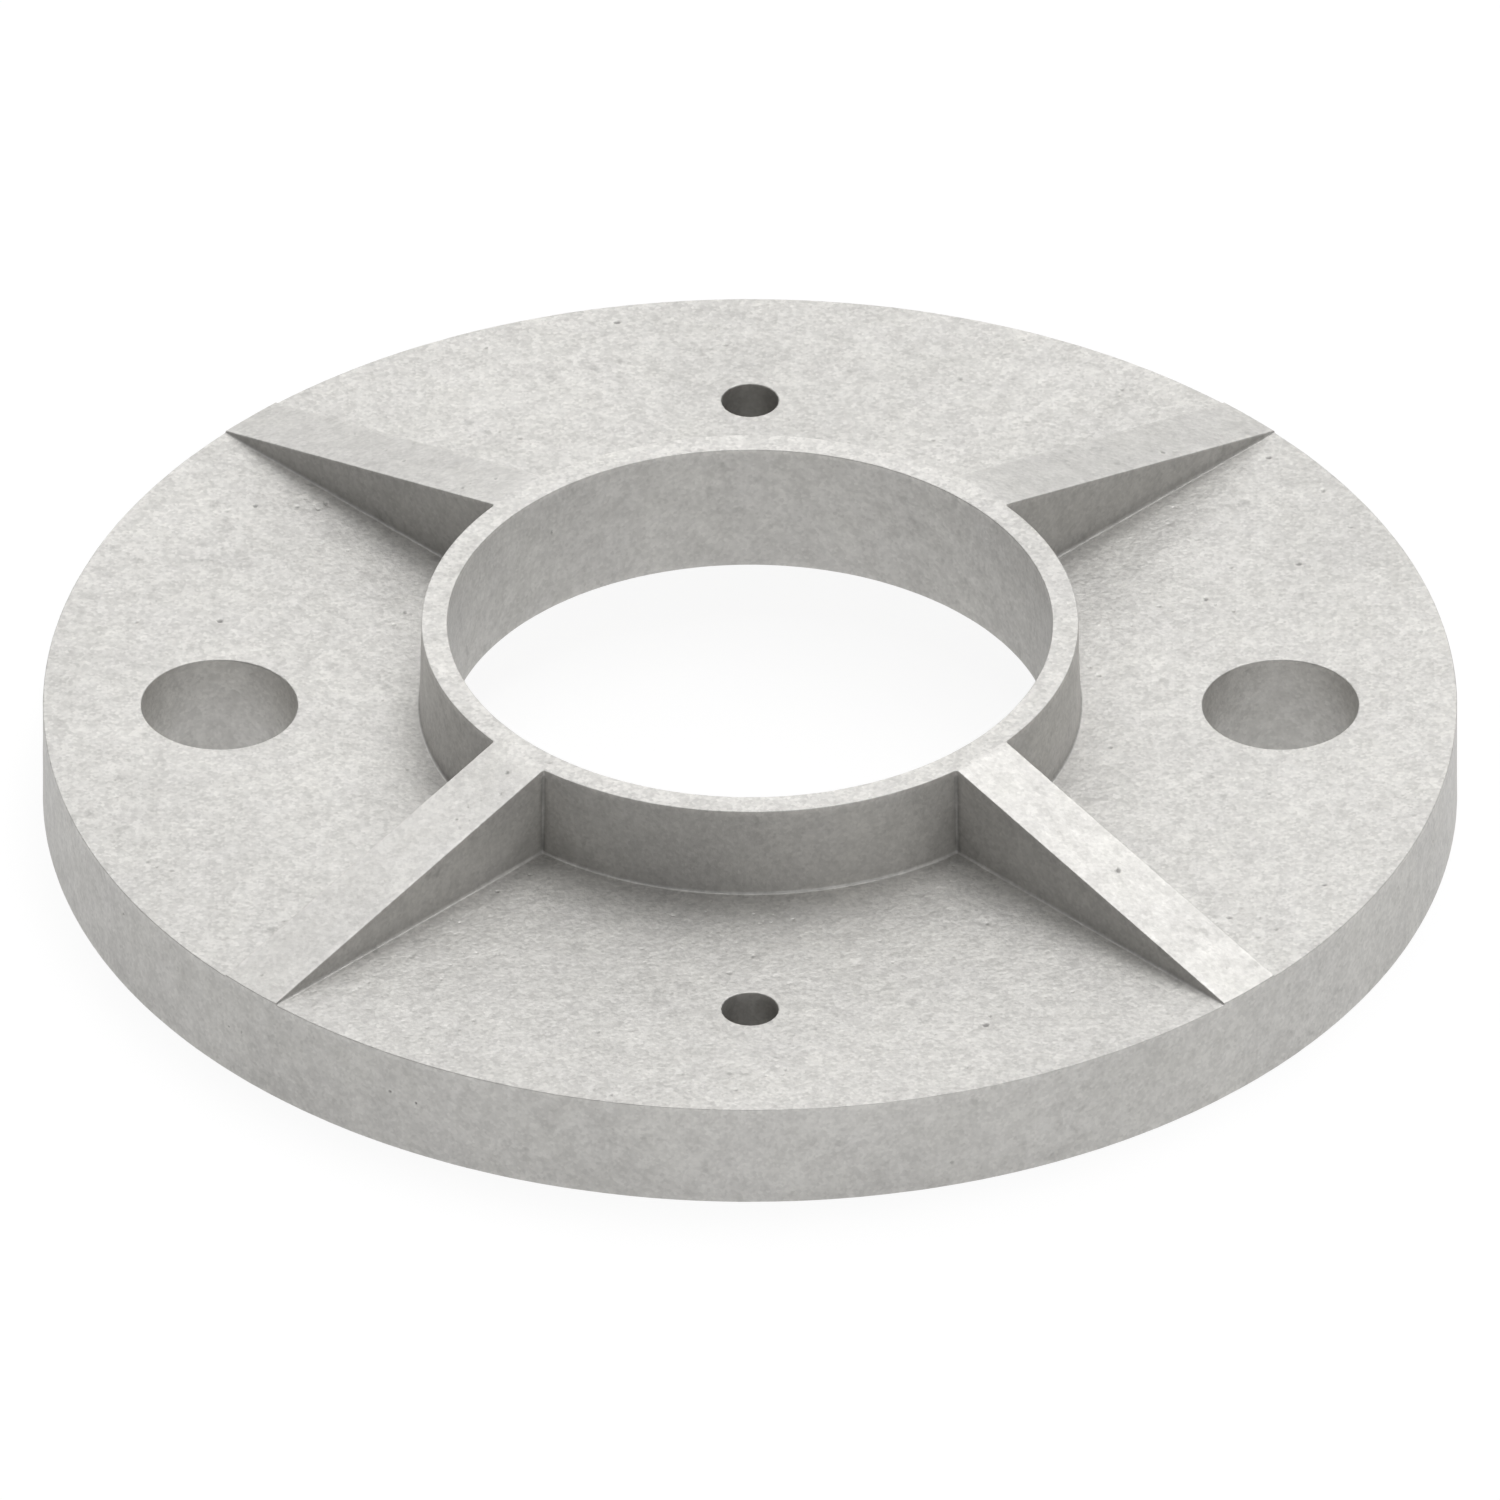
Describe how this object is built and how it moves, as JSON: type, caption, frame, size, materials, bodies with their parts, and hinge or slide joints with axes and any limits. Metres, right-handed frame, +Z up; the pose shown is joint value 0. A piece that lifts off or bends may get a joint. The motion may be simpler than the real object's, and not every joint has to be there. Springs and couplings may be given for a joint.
{
  "type": "anchor plate",
  "caption": "Round cast plate with a ribbed collar that a sign post passes through, and holes that bolt and pin it to its foundation.",
  "frame": {"origin": "centre of the rim's underside, where the plate stands on its foundation", "axes": "+Z up along the bore, +X through a bolt hole, +Y through a pin hole"},
  "size_m": [0.2, 0.2, 0.03],
  "materials": {
    "cast_aluminium": "matt as-cast skin with fine mottling and small pits"
  },
  "bodies": {
    "root": {"anchor_plate": "cast_aluminium"}
  },
  "joints": []
}
